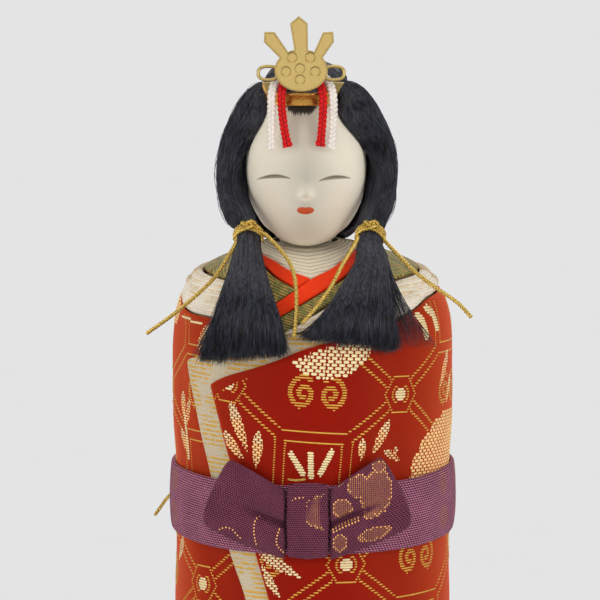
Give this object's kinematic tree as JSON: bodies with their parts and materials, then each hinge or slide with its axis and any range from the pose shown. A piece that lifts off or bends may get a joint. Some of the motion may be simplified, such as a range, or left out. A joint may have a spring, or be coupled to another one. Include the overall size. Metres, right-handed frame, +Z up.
{
  "type": "hina doll",
  "caption": "Standing empress doll with a robe-wrapped round body, wide sash and bow, lift-off turning head, combed tied hair and a lift-off crown with hanging braids.",
  "frame": {"origin": "centre of the flat underside on which the doll stands", "axes": "+Z up; the doll faces -Y; +X is the viewer's right as the doll is looked at from the front"},
  "size_m": [0.0863, 0.086, 0.2196],
  "materials": {
    "red_brocade": "woven silk brocade with gold weft",
    "white_gold_cloth": "cream woven cloth with gold weft",
    "green_gold_cloth": "green and gold woven cloth",
    "tan_cloth": "tan woven cloth",
    "scarlet_cloth": "plain scarlet silk",
    "ribbed_white_cloth": "white cross-ribbed crepe",
    "purple_cloth": "purple woven cloth with copper motifs",
    "gold_thread": "twisted gold-wrapped cord",
    "shell_white": "shell-white lacquer, satin",
    "black_silk": "combed black silk floss",
    "gold_plate": "pressed and plated sheet metal, satin",
    "red_braid": "braided silk cord",
    "white_braid": "braided silk cord",
    "moulded_core": "wrapped straw and paper, matt",
    "base_felt": "dark felt",
    "bamboo": "split bamboo, smooth"
  },
  "bodies": {
    "body": {"back_roll": "tan_cloth", "base_pad": "base_felt", "body_core": "moulded_core", "bow_knot": "purple_cloth", "bow_loop_left": "purple_cloth", "bow_loop_right": "purple_cloth", "bow_thread": "gold_thread", "green_collar_left": "green_gold_cloth", "green_collar_right": "green_gold_cloth", "lower_front_panel": "red_brocade", "lower_lining": "white_gold_cloth", "lower_under_robe": "red_brocade", "neck_collar": "ribbed_white_cloth", "obi": "purple_cloth", "obi_cord": "gold_thread", "red_collar_left": "scarlet_cloth", "red_collar_right": "scarlet_cloth", "shoulder_roll_left": "white_gold_cloth", "shoulder_roll_right": "white_gold_cloth", "upper_front_panel": "red_brocade", "upper_lining": "white_gold_cloth", "upper_under_robe": "red_brocade"},
    "neck_peg": {"neck_peg": "bamboo"},
    "head": {"gold_cord_left_inner": "gold_thread", "gold_cord_left_outer": "gold_thread", "gold_cord_right_inner": "gold_thread", "gold_cord_right_outer": "gold_thread", "hair_back": "black_silk", "hair_sweep_left": "black_silk", "hair_sweep_right": "black_silk", "head": "shell_white", "tassel_left": "black_silk", "tassel_right": "black_silk", "tie_winding_left": "gold_thread", "tie_winding_right": "gold_thread"},
    "crown": {"crown_cup": "gold_plate", "crown_loop_left": "gold_plate", "crown_loop_right": "gold_plate", "crown_pin": "gold_plate", "crown_plate": "gold_plate", "red_cord": "red_braid", "white_cord": "white_braid"}
  },
  "joints": [
    {"name": "head_lift", "type": "slide", "parent": "body", "child": "neck_peg", "axis": [0, 0, 1], "range_m": [0, 0.04]},
    {"name": "head_turn", "type": "hinge", "parent": "neck_peg", "child": "head", "pos_m": [-0.0018, 0, 0.1558], "axis": [0, 0, 1], "range_deg": [-15, 15]},
    {"name": "crown_lift", "type": "slide", "parent": "head", "child": "crown", "axis": [0, 0, 1], "range_m": [0, 0.025]}
  ]
}
